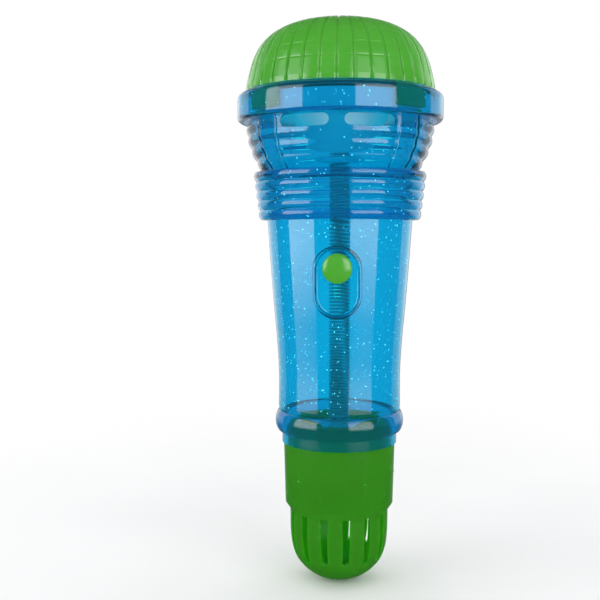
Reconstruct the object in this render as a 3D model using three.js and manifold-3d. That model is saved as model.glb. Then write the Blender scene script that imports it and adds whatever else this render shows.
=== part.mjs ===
// Toy echo microphone. A hollow clear handle has a long coil spring strung inside it, between a thin
// diaphragm cup in the head and a peg in the vented cap, so the spring rings when someone speaks
// into the dome. Millimetres. +Z runs along the handle towards the dome, -Y faces the switch, and
// the origin is halfway along the length.

import * as THREE from 'three';
import { mergeVertices } from 'three/addons/utils/BufferGeometryUtils.js';
import Module from 'manifold-3d';

const wasm = await Module();
wasm.setup();

const DEG = Math.PI / 180;
const lerp = THREE.MathUtils.lerp;

// ---------------------------------------------------------------- driving dimensions

const LENGTH = 254;
const TOP = LENGTH / 2;
const BOTTOM = -LENGTH / 2;
const GAP = 0.3;
const WALL = 2;
const SIDES = 36;
const RING_STEPS = 3;

// Dome: foot radius, and the two handles of the curve from its foot to its crown.
const DOME_R = 42.4;
const DOME_FOOT = 97;
const DOME_SIDE_HANDLE = [39.3, DOME_FOOT + 15.8];
const DOME_TOP_HANDLE = [36, TOP];
const DOME_SEAMS = 36;
const DOME_GROOVE_DEPTH = 0.9;
const DOME_GROOVE_HALF_ANGLE = 0.6 * DEG;
const DOME_BOTTOM = 91.9;

// Four snap tabs that hang from the dome and hook under the lip of the rim ring.
const TAB_COUNT = 4;
const TAB_TURN = 45 * DEG;
const TAB_HALF_ANGLE = 10.5 * DEG;
const TAB_R = 43.8;
const TAB_INNER_R = 41.9;
const TAB_HOOK_Z = 91.5;
const TAB_BOTTOM = 84.8;

// Rim ring round the foot of the dome.
const RIM_R = 46.2;
const RIM_TOP = 94.8;
const RIM_SHOULDER = 91.4;
const RIM_SHOULDER_ROUND = 2.6;
const RIM_BOTTOM = 81.6;
const RIM_FOOT_ROUND = 2;
const RIM_LIP_R = DOME_R + 0.35;
const RIM_BORE_R = 44.1;
const RIM_LIP_BOTTOM = 92.3;

// Head: a ribbed bowl that hangs from a flange and ends in the ringed collar.
const FLANGE_TOP = 83.6;
const FLANGE_R = RIM_BORE_R - GAP;
const BOWL_R = 42.3;
const BOWL_WIDEST = 80;
const BOWL_CURVE = 0.0168;
const RIB_PITCH = 5.5;
const RIB_COUNT = 4;
const RIB_TOP = 80.65;
const RIB_DEPTH = 1;
const PANEL_HALF_ANGLE = 55.5 * DEG;
const SOUND_SLOT = { near: 3.2, far: 24, z: 78.8, height: 5.2 };

// Collar: rounded rings over the top of the barrel.
const COLLAR_TOP = 59.3;
const COLLAR_BOTTOM = 38.1;
const COLLAR_R_TOP = 39.1;
const COLLAR_R_BOTTOM = 36.5;
const COLLAR_RINGS = 5;
const COLLAR_RING_DEPTH = 0.9;
const COLLAR_BORE_BOTTOM = COLLAR_R_BOTTOM - COLLAR_RING_DEPTH - WALL;
const COLLAR_BORE_TOP = COLLAR_R_TOP - COLLAR_RING_DEPTH - WALL;

// Barrel, from the short spigot that the collar covers down to the neck that meets the cap.
const BARREL_TOP = 43;
const SPIGOT_R_BOTTOM = 33.3;
const SPIGOT_R_TOP = 33.8;
const BARREL_BOTTOM = -63;
const BARREL_SIDE = [[27.8, -46], [27.8, -31], [28.6, -16], [30.1, 1], [31.5, 19], [32.8, 37.8]];
const BULGE_R = 29.3;
const BULGE_Z = -53;
const BULGE_HALF = 4.8;
const NECK_R = 26.2;

// Switch: a round knob in a stadium recess. The recess lies along the barrel's taper, and the
// heights below are measured along that slope from the middle of the recess.
const SWITCH_Z = 10.8;
const SWITCH_R = 30.86;
const SWITCH_TILT = Math.atan(1.4 / 18);
const RECESS_WIDTH = 18.8;
const RECESS_LENGTH = 29.2;
const RECESS_DEPTH = 2.6;
const RECESS_FLOOR = 1.6;
const KNOB_R = 6.45;
const KNOB_HEIGHT = 3.6;
const STEM_R = 1.3;
const SWITCH_TRAVEL = 12.2;

// Cap: skirt, vented nose, and the sleeve that plugs into the barrel.
const CAP_TOP = -63.3;
const CAP_SKIRT_BOTTOM = -91;
const CAP_STEP_BOTTOM = -94.1;
const CAP_R_TOP = 25.7;
const CAP_R_BOTTOM = 24.7;
const NOSE_TOP = -96;
const NOSE_R = 22.5;
const SLEEVE_TOP = -53;
const SLEEVE_R = 23.9;
const CAP_BORE = 22.1;
const LEDGE_Z = -61;
const VENT_COUNT = 14;
const VENT_WIDTH = 3.7;
const VENT_TOP = -94.4;
const VENT_BOTTOM = -115.7;
const VENT_TURN = 10.5 * DEG;

// Spring and what it hangs between.
const SPRING_R = 4.45;
const SPRING_WIRE = 0.9;
const SPRING_TOP = 64.2;
const SPRING_BOTTOM = -56.9;
const SPRING_PITCH_TOP = 1.9;
const SPRING_PITCH_BOTTOM = 1.2;
const PEG_R = 3.3;
const CUP_FLOOR_R = 9.4;
const CUP_TOP_R = 22;
const CUP_EDGE_Z = 84.7;
const CUP_EDGE_R = 40;
const CUP_SKIN = 0.7;
const CUP_FLOOR = 66;
const CLAMP_R = 41.6;
const CLAMP_INNER_R = 39;

// ---------------------------------------------------------------- materials

const green = { color: 0x52b82a, roughness: 0.35, metalness: 0 };
const clearBlue = { color: 0x0a8fd0, roughness: 0.12, metalness: 0, transparent: true, opacity: 0.6 };
const paleTeal = { color: 0x7fcfd0, roughness: 0.3, metalness: 0 };
const steel = { color: 0xa9adb0, roughness: 0.35, metalness: 1 };

// ---------------------------------------------------------------- shape helpers

// A closed mesh with shared corners, as a solid that can be joined and cut.
function toSolid(source) {
  const bare = source.clone();
  bare.deleteAttribute('normal');
  bare.deleteAttribute('uv');
  const merged = mergeVertices(bare, 1e-4);
  const corners = merged.index.array;
  const triangles = [];
  for (let i = 0; i < corners.length; i += 3) {
    const [a, b, c] = [corners[i], corners[i + 1], corners[i + 2]];
    if (a !== b && b !== c && c !== a) {
      triangles.push(a, b, c);
    }
  }
  return new wasm.Manifold(new wasm.Mesh({
    numProp: 3,
    vertProperties: Float32Array.from(merged.attributes.position.array),
    triVerts: Uint32Array.from(triangles),
  }));
}

function toGeometry(solid) {
  const mesh = solid.getMesh();
  const geometry = new THREE.BufferGeometry();
  geometry.setAttribute('position', new THREE.BufferAttribute(Float32Array.from(mesh.vertProperties), 3));
  geometry.setIndex(new THREE.BufferAttribute(Uint32Array.from(mesh.triVerts), 1));
  geometry.computeVertexNormals();
  return geometry;
}

// Turns a closed outline of [radius, height] points about the Z axis. Facet 0 starts at -Y.
function turnedGeometry(outline, sides = SIDES) {
  let doubledArea = 0;
  outline.forEach(([r, z], i) => {
    const [nextR, nextZ] = outline[(i + 1) % outline.length];
    doubledArea += r * nextZ - nextR * z;
  });
  const points = outline.map(([r, z]) => new THREE.Vector2(r, z));
  if (doubledArea < 0) {
    points.reverse();
  }
  points.push(points[0].clone());
  return new THREE.LatheGeometry(points, sides).rotateX(Math.PI / 2);
}

function turned(outline, sides = SIDES) {
  return toSolid(turnedGeometry(outline, sides));
}

// A solid through a row of closed sections with the same number of corners.
function loft(sections) {
  const corners = sections[0].length;
  const last = (sections.length - 1) * corners;
  const triangles = [];
  for (let row = 0; row < last; row += corners) {
    for (let i = 0; i < corners; i++) {
      const j = (i + 1) % corners;
      triangles.push(row + i, row + corners + i, row + corners + j);
      triangles.push(row + i, row + corners + j, row + j);
    }
  }
  const outline = sections[0].map(([x, y, z]) => new THREE.Vector2(Math.hypot(x, y), z));
  for (const [a, b, c] of THREE.ShapeUtils.triangulateShape(outline, [])) {
    triangles.push(a, b, c, last + c, last + b, last + a);
  }
  return new wasm.Manifold(new wasm.Mesh({
    numProp: 3,
    vertProperties: Float32Array.from(sections.flat(2)),
    triVerts: Uint32Array.from(triangles),
  }));
}

// A flat outline in X and Z, pushed from yFrom to yTo.
function pushedAlongY(shape, yFrom, yTo, curveSegments = 6) {
  const depth = yTo - yFrom;
  const geometry = new THREE.ExtrudeGeometry(shape, { depth, bevelEnabled: false, curveSegments });
  geometry.rotateX(Math.PI / 2).translate(0, yTo, 0);
  return geometry;
}

// A stadium whose long axis is vertical when it is taller than wide, otherwise level.
function stadiumShape(width, height, centreX = 0, centreZ = 0) {
  const radius = Math.min(width, height) / 2;
  const reachX = width / 2 - radius;
  const reachZ = height / 2 - radius;
  const shape = new THREE.Shape();
  if (height > width) {
    shape.absarc(centreX, centreZ + reachZ, radius, 0, Math.PI);
    shape.absarc(centreX, centreZ - reachZ, radius, Math.PI, 2 * Math.PI);
  } else {
    shape.absarc(centreX + reachX, centreZ, radius, -Math.PI / 2, Math.PI / 2);
    shape.absarc(centreX - reachX, centreZ, radius, Math.PI / 2, 1.5 * Math.PI);
  }
  return shape;
}

// Outline points of a row of rounded rings; crest(z) is the radius that the crests touch.
function ringRow(zFrom, zTo, rings, depth, crest, stepsPerRing = RING_STEPS) {
  const steps = rings * stepsPerRing;
  const points = [];
  for (let i = 0; i <= steps; i++) {
    const z = lerp(zFrom, zTo, i / steps);
    const swell = Math.abs(Math.sin((i / stepsPerRing) * Math.PI));
    points.push([crest(z) - depth * (1 - swell), z]);
  }
  return points;
}

function arcPoints(centreR, centreZ, radius, fromDegrees, toDegrees, steps) {
  const points = [];
  for (let i = 0; i <= steps; i++) {
    const angle = lerp(fromDegrees, toDegrees, i / steps) * DEG;
    points.push([centreR + radius * Math.cos(angle), centreZ + radius * Math.sin(angle)]);
  }
  return points;
}

// ---------------------------------------------------------------- dome

function domeCurve(inset, steps) {
  const foot = new THREE.Vector2(DOME_R - inset, DOME_FOOT);
  const side = new THREE.Vector2(DOME_SIDE_HANDLE[0] - inset, DOME_SIDE_HANDLE[1] - inset / 2);
  const crown = new THREE.Vector2(DOME_TOP_HANDLE[0] - inset, DOME_TOP_HANDLE[1] - inset);
  const apex = new THREE.Vector2(0, TOP - inset);
  return new THREE.CubicBezierCurve(foot, side, crown, apex).getPoints(steps).map(p => [p.x, p.y]);
}

// Three columns of points stand at each seam: the groove's bottom and its two lips.
function domeOuter() {
  const outline = [[0, DOME_BOTTOM], [DOME_R, DOME_BOTTOM], ...domeCurve(0, 8)];
  const geometry = turnedGeometry(outline, DOME_SEAMS * 3);
  const position = geometry.attributes.position;
  const rows = outline.length + 1;
  const seamAngle = (2 * Math.PI) / DOME_SEAMS;
  for (let i = 0; i < position.count; i++) {
    const column = Math.floor(i / rows);
    const seam = Math.round(column / 3);
    const side = column - seam * 3;
    const angle = seam * seamAngle + side * DOME_GROOVE_HALF_ANGLE;
    const z = position.getZ(i);
    const r = Math.hypot(position.getX(i), position.getY(i));
    const onDome = z > DOME_FOOT - 1 && r > 4;
    const depth = side === 0 && onDome ? DOME_GROOVE_DEPTH : 0;
    const rise = Math.max(0, (z - DOME_FOOT) / (TOP - DOME_FOOT));
    const newR = r - depth;
    position.setXYZ(i, newR * Math.sin(angle), -newR * Math.cos(angle), z - depth * rise);
  }
  return toSolid(geometry);
}

// One snap tab: a slice of a turned ring, hooked outwards below the lip of the rim.
function domeTab(index) {
  const steps = 4;
  const start = TAB_TURN + (index * 2 * Math.PI) / TAB_COUNT - TAB_HALF_ANGLE;
  const outline = [
    [TAB_INNER_R, TAB_BOTTOM],
    [TAB_R, TAB_BOTTOM],
    [TAB_R, TAB_HOOK_Z],
    [DOME_R - 0.1, TAB_HOOK_Z + 0.4],
    [DOME_R - 0.1, DOME_BOTTOM + 1.5],
    [TAB_INNER_R, DOME_BOTTOM + 1.5],
  ];
  const sections = [];
  for (let i = 0; i <= steps; i++) {
    const angle = start + (2 * TAB_HALF_ANGLE * i) / steps;
    sections.push(outline.map(([r, z]) => [r * Math.sin(angle), -r * Math.cos(angle), z]));
  }
  return loft(sections);
}

function grilleDome() {
  const hollow = turned([
    [0, DOME_BOTTOM - 1],
    [DOME_R - WALL, DOME_BOTTOM - 1],
    ...domeCurve(WALL, 7),
  ]);
  let dome = domeOuter().subtract(hollow);
  for (let i = 0; i < TAB_COUNT; i++) {
    dome = dome.add(domeTab(i));
  }
  return dome;
}

function rimRing() {
  return turned([
    [RIM_BORE_R, RIM_BOTTOM],
    ...arcPoints(RIM_R - RIM_FOOT_ROUND, RIM_BOTTOM + RIM_FOOT_ROUND, RIM_FOOT_ROUND, -90, 0, 4),
    ...arcPoints(RIM_R - RIM_SHOULDER_ROUND, RIM_SHOULDER, RIM_SHOULDER_ROUND, 0, 65, 4),
    [RIM_LIP_R, RIM_TOP],
    [RIM_LIP_R, RIM_LIP_BOTTOM],
    [RIM_BORE_R, RIM_LIP_BOTTOM],
  ]);
}

// ---------------------------------------------------------------- head

function bowlRadius(z) {
  return BOWL_R - BOWL_CURVE * (BOWL_WIDEST - z) ** 2;
}

const RIB_BOTTOM = RIB_TOP - RIB_COUNT * RIB_PITCH;

function bowlPoints(inset, zFrom, zTo, steps) {
  const points = [];
  for (let i = 0; i <= steps; i++) {
    const z = lerp(zFrom, zTo, i / steps);
    points.push([bowlRadius(z) - inset, z]);
  }
  return points;
}

// The smooth bowl with its flange and collar: everything of the head except ribs and slots.
function headBase() {
  const collarHeight = COLLAR_TOP - COLLAR_BOTTOM;
  const collarCrest = z => lerp(COLLAR_R_BOTTOM, COLLAR_R_TOP, (z - COLLAR_BOTTOM) / collarHeight);
  return turned([
    [COLLAR_BORE_BOTTOM, COLLAR_BOTTOM],
    ...ringRow(COLLAR_BOTTOM, COLLAR_TOP, COLLAR_RINGS, COLLAR_RING_DEPTH, collarCrest),
    ...bowlPoints(RIB_DEPTH, COLLAR_TOP, RIM_BOTTOM, 6),
    [FLANGE_R, RIM_BOTTOM],
    [FLANGE_R, FLANGE_TOP],
    [bowlRadius(FLANGE_TOP) - RIB_DEPTH - WALL, FLANGE_TOP],
    ...bowlPoints(RIB_DEPTH + WALL, COLLAR_TOP, RIM_BOTTOM, 6).reverse(),
    [COLLAR_BORE_TOP - WALL * 2, COLLAR_TOP - WALL],
    [COLLAR_BORE_TOP, COLLAR_TOP - WALL],
  ]);
}

// A wedge that reaches past the head on one side, to clear the ribs off a panel.
function panelWedge(facing) {
  const reach = 80;
  const halfWidth = reach * Math.tan(PANEL_HALF_ANGLE);
  const shape = new THREE.Shape([
    new THREE.Vector2(0, 0),
    new THREE.Vector2(halfWidth, facing * reach),
    new THREE.Vector2(-halfWidth, facing * reach),
  ]);
  const depth = FLANGE_TOP - COLLAR_BOTTOM;
  const geometry = new THREE.ExtrudeGeometry(shape, { depth, bevelEnabled: false });
  return toSolid(geometry.translate(0, 0, COLLAR_BOTTOM));
}

function headRibs() {
  const ribs = turned([
    ...ringRow(RIB_BOTTOM, RIB_TOP, RIB_COUNT, RIB_DEPTH, bowlRadius),
    [bowlRadius(RIB_TOP) - RIB_DEPTH - WALL / 2, RIB_TOP],
    ...bowlPoints(RIB_DEPTH + WALL / 2, RIB_BOTTOM, BOWL_WIDEST, 5).reverse(),
  ]);
  const collarAndBelow = turned([[0, 0], [60, 0], [60, COLLAR_TOP - 0.5], [0, COLLAR_TOP - 0.5]], 12);
  return ribs.subtract(panelWedge(-1)).subtract(panelWedge(1)).subtract(collarAndBelow);
}

function soundSlot(side, facing) {
  const width = SOUND_SLOT.far - SOUND_SLOT.near;
  const centreX = side * (SOUND_SLOT.near + width / 2);
  const shape = stadiumShape(width, SOUND_SLOT.height, centreX, SOUND_SLOT.z);
  const [yFrom, yTo] = facing < 0 ? [-60, -20] : [20, 60];
  return toSolid(pushedAlongY(shape, yFrom, yTo, 4));
}

function headShell() {
  let shell = headBase().add(headRibs());
  for (const facing of [-1, 1]) {
    for (const side of [-1, 1]) {
      shell = shell.subtract(soundSlot(side, facing));
    }
  }
  return shell;
}

// ---------------------------------------------------------------- barrel and switch

function barrelOutline() {
  const bulge = ringRow(BULGE_Z - BULGE_HALF, BULGE_Z + BULGE_HALF, 1, BULGE_R - 27.6, () => BULGE_R, 6);
  return [
    [NECK_R, BARREL_BOTTOM],
    [NECK_R, BULGE_Z - BULGE_HALF - 0.9],
    ...bulge,
    ...BARREL_SIDE,
    [SPIGOT_R_BOTTOM, COLLAR_BOTTOM + 0.5],
    [SPIGOT_R_TOP, BARREL_TOP],
  ];
}

function barrelBore() {
  return [
    [NECK_R - WALL, BARREL_BOTTOM],
    [NECK_R - WALL, BULGE_Z + BULGE_HALF - 2],
    ...BARREL_SIDE.map(([r, z]) => [r - WALL, z]),
    [SPIGOT_R_TOP - WALL, BARREL_TOP],
  ];
}

// Moves a shape drawn at the recess, with y = 0 on the barrel's surface, to its place on the barrel.
function atSwitch(geometry) {
  return geometry.rotateX(SWITCH_TILT).translate(0, -SWITCH_R, SWITCH_Z);
}

function barrel() {
  const outline = barrelOutline();
  const skin = turned([...outline, [0, BARREL_TOP], [0, BARREL_BOTTOM]]);
  const tube = turned([...outline, ...barrelBore().reverse()]);
  const padWidth = RECESS_WIDTH + 2 * WALL;
  const padLength = RECESS_LENGTH + 2 * WALL;
  const padBack = RECESS_DEPTH + RECESS_FLOOR;
  const pad = toSolid(atSwitch(pushedAlongY(stadiumShape(padWidth, padLength), -3, padBack)));
  const recess = toSolid(atSwitch(
    pushedAlongY(stadiumShape(RECESS_WIDTH, RECESS_LENGTH), -8, RECESS_DEPTH),
  ));
  const slotWidth = 2 * (STEM_R + GAP);
  const guideSlot = toSolid(atSwitch(
    pushedAlongY(stadiumShape(slotWidth, SWITCH_TRAVEL + slotWidth), -8, padBack + 4),
  ));
  return tube.add(pad.intersect(skin)).subtract(recess).subtract(guideSlot);
}

// Turned about its own Y axis, with the dome of the knob facing -Y.
function turnedAlongY(outline, sides, z) {
  return turnedGeometry(outline, sides).rotateX(Math.PI / 2).translate(0, 0, z);
}

function switchKnob() {
  const floor = RECESS_DEPTH - GAP;
  const shoulder = floor - KNOB_HEIGHT + 2;
  const crown = arcPoints(0, 0, 1, 0, 90, 5).map(([c, s]) => [KNOB_R * c, -shoulder + 2 * s]);
  const outline = [
    [0, -RECESS_DEPTH - RECESS_FLOOR - 2.4],
    [STEM_R, -RECESS_DEPTH - RECESS_FLOOR - 2.4],
    [STEM_R, -floor],
    [KNOB_R - 0.4, -floor],
    ...crown,
  ];
  return toSolid(atSwitch(turnedAlongY(outline, 20, SWITCH_TRAVEL / 2)));
}

function switchShoe() {
  const near = RECESS_DEPTH + RECESS_FLOOR + GAP;
  const plate = toSolid(atSwitch(
    pushedAlongY(stadiumShape(8, 12, 0, SWITCH_TRAVEL / 2), near, near + 1.2),
  ));
  const hole = [[0, -near - 3], [STEM_R + GAP, -near - 3], [STEM_R + GAP, 0], [0, 0]];
  return plate.subtract(toSolid(atSwitch(turnedAlongY(hole, 16, SWITCH_TRAVEL / 2))));
}

// ---------------------------------------------------------------- cap

const NOSE_CURVE = [
  [6, -126.6],
  [11, -124.9],
  [15, -122.2],
  [17.6, -119.6],
  [19.5, -117],
  [20.8, -114],
  [21.8, -110],
  [22.4, -104],
];

function vent(index) {
  const half = VENT_WIDTH / 2;
  const shape = new THREE.Shape();
  shape.moveTo(-half, VENT_TOP);
  shape.lineTo(-half * 0.8, VENT_BOTTOM + 2);
  shape.quadraticCurveTo(0, VENT_BOTTOM - 2, half * 0.8, VENT_BOTTOM + 2);
  shape.lineTo(half, VENT_TOP);
  const turn = VENT_TURN + (index * 2 * Math.PI) / VENT_COUNT;
  return toSolid(pushedAlongY(shape, -30, -12, 2).rotateZ(turn));
}

function buttCap() {
  const inner = NOSE_CURVE.map(([r, z]) => [Math.max(r - WALL, 0), z + WALL * 0.8]);
  let cap = turned([
    [0, BOTTOM],
    ...NOSE_CURVE,
    [NOSE_R, NOSE_TOP],
    [NOSE_R + 0.1, CAP_STEP_BOTTOM],
    [CAP_R_BOTTOM, CAP_SKIRT_BOTTOM],
    [CAP_R_TOP, CAP_TOP],
    [SLEEVE_R, CAP_TOP],
    [SLEEVE_R, SLEEVE_TOP],
    [CAP_BORE, SLEEVE_TOP],
    [CAP_BORE, LEDGE_Z],
    [CAP_BORE - 1.6, LEDGE_Z],
    [CAP_BORE - 1.6, LEDGE_Z - 1.5],
    [CAP_BORE, LEDGE_Z - 3],
    [CAP_BORE, CAP_SKIRT_BOTTOM],
    [NOSE_R - WALL, NOSE_TOP],
    ...inner.reverse(),
    [0, BOTTOM + WALL],
  ]);
  for (let i = 0; i < VENT_COUNT; i++) {
    cap = cap.subtract(vent(i));
  }
  return cap;
}

// ---------------------------------------------------------------- spring and its ends

// A helix whose coils lie closer towards the bottom, where the spring hangs slack.
class SpringPath extends THREE.Curve {
  getPoint(t, target = new THREE.Vector3()) {
    const length = SPRING_TOP - SPRING_BOTTOM;
    const turns = length / ((SPRING_PITCH_TOP + SPRING_PITCH_BOTTOM) / 2);
    const even = (SPRING_PITCH_BOTTOM * turns) / length;
    const z = SPRING_BOTTOM + length * (even * t + (1 - even) * t * t);
    const angle = 2 * Math.PI * turns * t;
    return target.set(SPRING_R * Math.cos(angle), SPRING_R * Math.sin(angle), z);
  }
}

function echoSpring() {
  const section = new THREE.Shape([90, 210, 330].map(degrees => new THREE.Vector2(
    (SPRING_WIRE / 2) * Math.cos(degrees * DEG),
    (SPRING_WIRE / 2) * Math.sin(degrees * DEG),
  )));
  const path = new SpringPath();
  const coils = (SPRING_TOP - SPRING_BOTTOM) / ((SPRING_PITCH_TOP + SPRING_PITCH_BOTTOM) / 2);
  const options = { steps: Math.round(coils * 6), extrudePath: path, bevelEnabled: false };
  return toSolid(new THREE.ExtrudeGeometry(section, options));
}

function diaphragmCup() {
  const hole = 1.5;
  return turned([
    [hole, CUP_FLOOR],
    [CUP_FLOOR_R, CUP_FLOOR],
    [CUP_TOP_R, CUP_EDGE_Z],
    [CUP_EDGE_R, CUP_EDGE_Z],
    [CUP_EDGE_R, CUP_EDGE_Z + CUP_SKIN],
    [CUP_TOP_R - 0.5, CUP_EDGE_Z + CUP_SKIN],
    [CUP_FLOOR_R - 0.5, CUP_FLOOR + CUP_SKIN],
    [hole, CUP_FLOOR + CUP_SKIN],
  ]);
}

function diaphragmRing() {
  const underside = CUP_EDGE_Z + CUP_SKIN + 0.8;
  return turned([
    [CUP_EDGE_R + GAP, FLANGE_TOP + GAP],
    [CLAMP_R, FLANGE_TOP + GAP],
    [CLAMP_R, DOME_BOTTOM - GAP],
    [CLAMP_INNER_R, DOME_BOTTOM - GAP],
    [CLAMP_INNER_R, underside],
    [CUP_EDGE_R + GAP, underside],
  ]);
}

function topPeg() {
  const washer = CUP_FLOOR - GAP;
  return turned([
    [0, washer - 5.8],
    [PEG_R, washer - 5.8],
    [PEG_R, washer - 0.8],
    [5.5, washer - 0.8],
    [5.5, washer],
    [1.2, washer],
    [1.2, CUP_FLOOR + CUP_SKIN + GAP],
    [2.3, CUP_FLOOR + CUP_SKIN + GAP],
    [1.8, CUP_FLOOR + 2],
    [0, CUP_FLOOR + 2],
  ], 16);
}

const SPIDER_TOP = LEDGE_Z + GAP + 1.6;

function anchorSpider() {
  const bottom = LEDGE_Z + GAP;
  const outer = CAP_BORE - GAP;
  let spider = turned([[outer - 2, bottom], [outer, bottom], [outer, SPIDER_TOP], [outer - 2, SPIDER_TOP]]);
  spider = spider.add(turned([[0, bottom], [6, bottom], [6, SPIDER_TOP], [0, SPIDER_TOP]], 16));
  for (let i = 0; i < 3; i++) {
    const arm = new THREE.BoxGeometry(5, outer - 1, SPIDER_TOP - bottom);
    arm.translate(0, (outer - 1) / 2, (bottom + SPIDER_TOP) / 2).rotateZ((i * 2 * Math.PI) / 3);
    spider = spider.add(toSolid(arm));
  }
  const hole = turned([[0, bottom - 1], [2.3, bottom - 1], [2.3, SPIDER_TOP + 1], [0, SPIDER_TOP + 1]], 16);
  return spider.subtract(hole);
}

function bottomPeg() {
  const seat = SPIDER_TOP + GAP;
  return turned([
    [0, LEDGE_Z - 1.6],
    [3.2, LEDGE_Z - 1.6],
    [3.2, LEDGE_Z],
    [2, LEDGE_Z],
    [2, seat],
    [5.5, seat],
    [5.5, seat + 1.2],
    [PEG_R, seat + 1.2],
    [PEG_R, seat + 6],
    [0, seat + 6.8],
  ], 16);
}

// ---------------------------------------------------------------- the assembly

const microphone = new THREE.Group();

function addPiece(name, solid, look) {
  const mesh = new THREE.Mesh(toGeometry(solid), new THREE.MeshStandardMaterial(look));
  mesh.name = name;
  microphone.add(mesh);
}

addPiece('grille_dome', grilleDome(), green);
addPiece('rim_ring', rimRing(), clearBlue);
addPiece('head_shell', headShell(), clearBlue);
addPiece('barrel', barrel(), clearBlue);
addPiece('butt_cap', buttCap(), green);
addPiece('switch_knob', switchKnob(), green);
addPiece('switch_shoe', switchShoe(), green);
addPiece('diaphragm', diaphragmCup(), paleTeal);
addPiece('diaphragm_ring', diaphragmRing(), paleTeal);
addPiece('top_peg', topPeg(), paleTeal);
addPiece('echo_spring', echoSpring(), steel);
addPiece('anchor_spider', anchorSpider(), paleTeal);
addPiece('bottom_peg', bottomPeg(), paleTeal);

export default microphone;
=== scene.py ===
"""Looks of the toy echo microphone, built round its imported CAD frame.

Lengths in the shape sections are millimetres, as in the part's source; MM turns them into metres.
Profiles are lists of (radius, height) points, and azimuth 0 is the -Y side, where the knob is.
"""
import math
import random

import bmesh
import bpy
from mathutils import Euler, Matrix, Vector


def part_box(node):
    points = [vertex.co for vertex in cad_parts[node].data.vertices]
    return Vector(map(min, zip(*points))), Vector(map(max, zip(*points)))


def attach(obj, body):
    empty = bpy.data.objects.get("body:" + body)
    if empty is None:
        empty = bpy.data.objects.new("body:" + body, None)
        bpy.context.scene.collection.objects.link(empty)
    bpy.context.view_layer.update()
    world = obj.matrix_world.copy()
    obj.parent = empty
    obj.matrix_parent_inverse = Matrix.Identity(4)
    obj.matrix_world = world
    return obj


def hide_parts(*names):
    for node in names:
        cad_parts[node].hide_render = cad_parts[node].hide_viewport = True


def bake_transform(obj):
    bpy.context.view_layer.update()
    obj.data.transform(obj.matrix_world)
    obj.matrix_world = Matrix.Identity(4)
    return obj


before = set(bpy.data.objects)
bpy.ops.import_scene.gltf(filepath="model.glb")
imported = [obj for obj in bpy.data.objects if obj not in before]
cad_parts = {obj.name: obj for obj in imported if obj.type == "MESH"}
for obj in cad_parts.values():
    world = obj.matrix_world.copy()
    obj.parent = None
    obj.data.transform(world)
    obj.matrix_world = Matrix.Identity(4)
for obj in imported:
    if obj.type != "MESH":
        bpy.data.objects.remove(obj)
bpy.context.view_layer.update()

MM = 0.001
RANDOM = random.Random(7)


def node_box(name):
    """Lowest and highest corners of a CAD node, in millimetres."""
    low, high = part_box(name)
    return [value / MM for value in low], [value / MM for value in high]


# ---------------------------------------------------------------- places, from the frame

TOP = node_box("grille_dome")[1][2]
BOTTOM = node_box("butt_cap")[0][2]
TAB_BOTTOM = node_box("grille_dome")[0][2]
RIM_R = node_box("rim_ring")[1][0]
RIM_BOTTOM = node_box("rim_ring")[0][2]
RIM_TOP = node_box("rim_ring")[1][2]
FLANGE_R = node_box("head_shell")[1][0]
FLANGE_TOP = node_box("head_shell")[1][2]
COLLAR_BOTTOM = node_box("head_shell")[0][2]
BARREL_TOP = node_box("barrel")[1][2]
BARREL_BOTTOM = node_box("barrel")[0][2]
BARREL_TOP_R = node_box("barrel")[1][0]
CAP_R_TOP = node_box("butt_cap")[1][0]
SLEEVE_TOP = node_box("butt_cap")[1][2]
CUP_EDGE_R = node_box("diaphragm")[1][0]
CUP_EDGE_TOP = node_box("diaphragm")[1][2]
CUP_FLOOR = node_box("diaphragm")[0][2]
SPRING_LOW, SPRING_HIGH = node_box("echo_spring")

# ---------------------------------------------------------------- shape sizes, millimetres

GAP = 0.3
WALL = 2.0

# Dome: foot, handles of the curve up to the crown, and the bottom edge inside the rim ring.
DOME_R = 42.4
DOME_FOOT = 97.0
DOME_SIDE_HANDLE = (39.3, DOME_FOOT + 15.8)
DOME_TOP_HANDLE = (36.0, TOP)
DOME_BOTTOM = 93.6

# Upright seams: each has columns of points at these distances from its middle, as lengths of arc,
# with their shares of the seam's depth, and then columns part of the way to the next seam. Near the
# crown, where the seams crowd together, a seam reaches at most SEAM_WIDEST of the way to its neighbour.
SEAM_COUNT = 36
SEAM_DEPTH = 0.6
SEAM_COLUMNS = (
    (-1.3, 0.0), (-0.62, 0.06), (-0.38, 0.6), (0.0, 1.0), (0.38, 0.6), (0.62, 0.06), (1.3, 0.0),
)
SEAM_BETWEEN = (0.3, 0.5, 0.7)
SEAM_WIDEST = 0.42

# The seams deepen over a short way above the rim ring, and run out before the middle of the crown.
SEAM_FOOT = RIM_TOP - 0.1
SEAM_FOOT_ROW = 0.3
SEAM_FOOT_FADE = 0.8
SEAM_END_R = 3
SEAM_END_FADE = 6

# Level bands, shallower grooves round the dome. A flatness over 1 gives each a flat bottom.
BANDS = (104.7, 110.5, 116.4, 121.3, 124.9)
BAND_DEPTH = 0.18
BAND_HALF = 0.45
BAND_FLATNESS = 1.6

# Snap tabs that hang from the dome and hook under the lip of the rim ring.
TAB_COUNT = 4
TAB_TURN = math.radians(45)
TAB_HALF_ANGLE = math.radians(10.5)
TAB_R = 43.8
TAB_INNER_R = TAB_R - 1.9
TAB_HOOK_Z = 91.5

# Rim ring, with a lip that holds the tabs.
RIM_FOOT_ROUND = 2.0
RIM_SHOULDER = 91.4
RIM_SHOULDER_ROUND = 2.6
RIM_LIP_R = DOME_R + 0.35
RIM_LIP_CHAMFER = 0.4
RIM_LIP_BOTTOM = 92.3

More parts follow.
